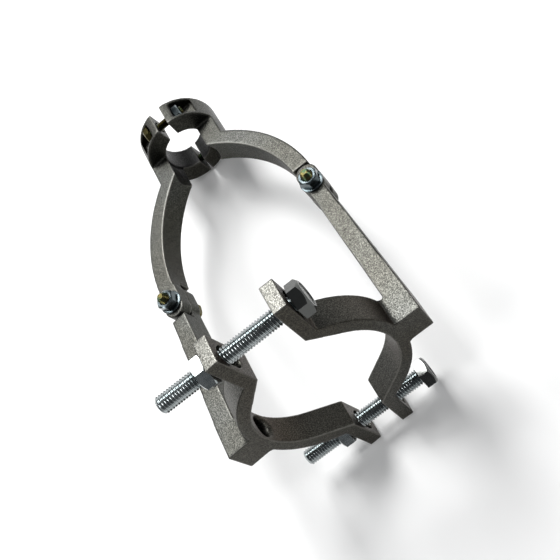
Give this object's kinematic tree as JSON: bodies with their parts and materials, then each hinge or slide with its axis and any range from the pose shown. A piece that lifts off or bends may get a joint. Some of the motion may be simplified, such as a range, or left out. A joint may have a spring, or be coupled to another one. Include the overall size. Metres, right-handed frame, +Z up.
{
  "type": "mortising chisel bracket",
  "caption": "Two-armed hinged bracket: a large split clamp grips a hand drill and a small split clamp on a bowed yoke holds a hollow chisel's shank in line with it",
  "frame": {"origin": "bottom centre of the bounding box, on the surface that the bracket lies on", "axes": "X runs along the clamp bolts, +Y from the large drill clamp to the small chisel clamp, and Z points up, so the bracket lies with its nuts facing up"},
  "size_m": [0.078, 0.1544, 0.0947],
  "materials": {
    "casting": "satin dark grey over a coarse cast grain",
    "clamp_steel": "bright zinc",
    "yellow_zinc": "yellowish zinc",
    "blue_zinc": "bluish zinc"
  },
  "bodies": {
    "lower_left": {"lower_casting_left": "casting"},
    "lower_right": {"lower_casting_right": "casting"},
    "upper_left": {"upper_casting_left": "casting", "shank_nut_far": "blue_zinc"},
    "upper_right": {"upper_casting_right": "casting", "shank_nut_near": "blue_zinc"},
    "near_clamp_bolt": {"clamp_bolt_near": "clamp_steel"},
    "near_clamp_nut": {"clamp_nut_near": "clamp_steel"},
    "far_clamp_bolt": {"clamp_bolt_far": "clamp_steel"},
    "far_clamp_nut": {"clamp_nut_far": "clamp_steel"},
    "left_pivot": {"pivot_bolt_left": "yellow_zinc", "pivot_nut_left": "blue_zinc", "pivot_washer_left": "blue_zinc"},
    "right_pivot": {"pivot_bolt_right": "yellow_zinc", "pivot_nut_right": "blue_zinc", "pivot_washer_right": "blue_zinc"},
    "near_shank_screw": {"shank_screw_near": "yellow_zinc"},
    "far_shank_screw": {"shank_screw_far": "yellow_zinc"}
  },
  "joints": [
    {"name": "clamp_slide", "type": "slide", "parent": "lower_left", "child": "lower_right", "axis": [0.9984, -0.0129, -0.0552], "range_m": [-0.0036, 0.0036]},
    {"name": "left_arm_hinge", "type": "hinge", "parent": "lower_left", "child": "upper_left", "pos_m": [-0.03385, 0.00008, 0.03167], "axis": [-0.0567, 0.2268, 0.9723], "range_deg": [-1.52, 1.52]},
    {"name": "right_arm_hinge", "type": "hinge", "parent": "lower_right", "child": "upper_right", "pos_m": [0.03385, 0.00008, 0.03167], "axis": [-0.0567, -0.2268, -0.9723], "range_deg": [-1.52, 1.52]},
    {"name": "near_bolt_turn", "type": "hinge", "parent": "lower_right", "child": "near_clamp_bolt", "pos_m": [0.0022, -0.05223, 0.08563], "axis": [0.9984, -0.0129, -0.0552], "range_deg": [-1296.01, 1296.01]},
    {"name": "near_nut_spin", "type": "hinge", "parent": "lower_left", "child": "near_clamp_nut", "pos_m": [-0.01677, -0.05199, 0.08667], "axis": [0.9984, -0.0129, -0.0552], "continuous": true},
    {"name": "far_bolt_spin", "type": "hinge", "parent": "lower_left", "child": "far_clamp_bolt", "pos_m": [-0.00217, -0.06972, 0.01066], "axis": [0.9984, -0.0129, -0.0552], "continuous": true},
    {"name": "far_nut_spin", "type": "hinge", "parent": "lower_left", "child": "far_clamp_nut", "pos_m": [-0.01315, -0.06958, 0.01127], "axis": [0.9984, -0.0129, -0.0552], "continuous": true},
    {"name": "left_pivot_spin", "type": "hinge", "parent": "lower_left", "child": "left_pivot", "pos_m": [-0.03385, 0.00008, 0.03167], "axis": [-0.0567, 0.2268, 0.9723], "continuous": true},
    {"name": "right_pivot_spin", "type": "hinge", "parent": "lower_right", "child": "right_pivot", "pos_m": [0.03385, 0.00008, 0.03167], "axis": [-0.0567, -0.2268, -0.9723], "continuous": true},
    {"name": "near_screw_spin", "type": "hinge", "parent": "upper_right", "child": "near_shank_screw", "pos_m": [0.00074, 0.07061, 0.03052], "axis": [0.9984, -0.0129, -0.0552], "continuous": true},
    {"name": "far_screw_spin", "type": "hinge", "parent": "upper_left", "child": "far_shank_screw", "pos_m": [0.00074, 0.06471, 0.00524], "axis": [-0.9984, -0.0129, -0.0552], "continuous": true}
  ],
  "couplings": [
    {"joint": "left_arm_hinge", "follows": "clamp_slide", "rad_per_m": -7.2516},
    {"joint": "right_arm_hinge", "follows": "clamp_slide", "rad_per_m": -7.2516},
    {"joint": "near_bolt_turn", "follows": "clamp_slide", "rad_per_m": 6283.2}
  ]
}
